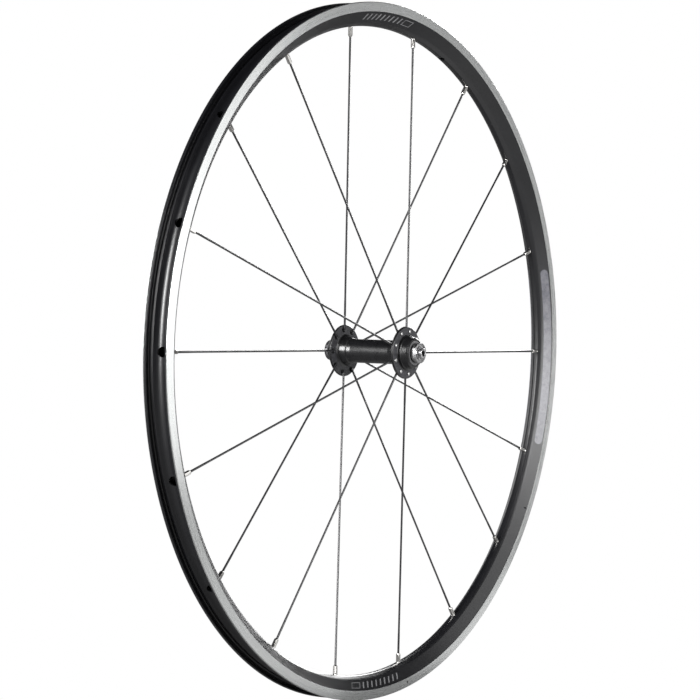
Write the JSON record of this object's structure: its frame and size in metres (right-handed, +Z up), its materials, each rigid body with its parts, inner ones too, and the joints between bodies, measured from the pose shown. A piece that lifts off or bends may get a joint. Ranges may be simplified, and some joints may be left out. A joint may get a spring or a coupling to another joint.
{
  "type": "bicycle front wheel",
  "caption": "Spoked front wheel of a road bicycle: hollow rim with brake tracks and tyre channel, radial spokes, flanged hub turning on sealed bearings and a hollow axle.",
  "frame": {"origin": "centre of the wheel, midway between the two fork faces on the axle's line", "axes": "+Y along the axle to the wheel's right side, +Z up, +X forwards"},
  "size_m": [0.6339, 0.1064, 0.634],
  "materials": {
    "rim_alloy": "black anodised, satin, with bare machined brake tracks",
    "spoke_steel": "black coated stainless steel, satin",
    "nipple_brass": "nickel plated brass, bright",
    "hub_alloy": "black anodised, satin, turned",
    "bearing_steel": "ground and polished bearing steel",
    "seal_rubber": "black rubber, matt",
    "cage_plastic": "glass filled nylon, matt",
    "axle_alloy": "bare turned alloy",
    "locknut_steel": "bright zinc plated steel, turned"
  },
  "bodies": {
    "axle_set": {"axle": "axle_alloy", "left_inner_race": "bearing_steel", "right_inner_race": "bearing_steel", "left_cone": "locknut_steel", "right_cone": "locknut_steel", "left_locknut": "locknut_steel", "right_locknut": "locknut_steel"},
    "wheel": {"rim": "rim_alloy", "spoke_01": "spoke_steel", "spoke_02": "spoke_steel", "spoke_03": "spoke_steel", "spoke_04": "spoke_steel", "spoke_05": "spoke_steel", "spoke_06": "spoke_steel", "spoke_07": "spoke_steel", "spoke_08": "spoke_steel", "spoke_09": "spoke_steel", "spoke_10": "spoke_steel", "spoke_11": "spoke_steel", "spoke_12": "spoke_steel", "spoke_13": "spoke_steel", "spoke_14": "spoke_steel", "spoke_15": "spoke_steel", "spoke_16": "spoke_steel", "spoke_17": "spoke_steel", "spoke_18": "spoke_steel", "left_nipples": "nipple_brass", "right_nipples": "nipple_brass", "hub_shell": "hub_alloy", "left_outer_race": "bearing_steel", "right_outer_race": "bearing_steel", "left_inboard_seal": "seal_rubber", "left_outboard_seal": "seal_rubber", "right_inboard_seal": "seal_rubber", "right_outboard_seal": "seal_rubber", "left_dust_seal": "seal_rubber", "right_dust_seal": "seal_rubber"},
    "left_ball_set": {"left_ball_cage": "cage_plastic", "left_balls": "bearing_steel"},
    "right_ball_set": {"right_ball_cage": "cage_plastic", "right_balls": "bearing_steel"}
  },
  "joints": [
    {"name": "wheel_spin", "type": "hinge", "parent": "axle_set", "child": "wheel", "pos_m": [0, 0, 0], "axis": [0, 1, 0], "continuous": true},
    {"name": "left_balls_orbit", "type": "hinge", "parent": "axle_set", "child": "left_ball_set", "pos_m": [0, -0.0405, 0], "axis": [0, 1, 0], "continuous": true},
    {"name": "right_balls_orbit", "type": "hinge", "parent": "axle_set", "child": "right_ball_set", "pos_m": [0, 0.0405, 0], "axis": [0, 1, 0], "continuous": true}
  ],
  "couplings": [
    {"joint": "left_balls_orbit", "follows": "wheel_spin", "ratio": 0.5992},
    {"joint": "right_balls_orbit", "follows": "wheel_spin", "ratio": 0.5992}
  ]
}
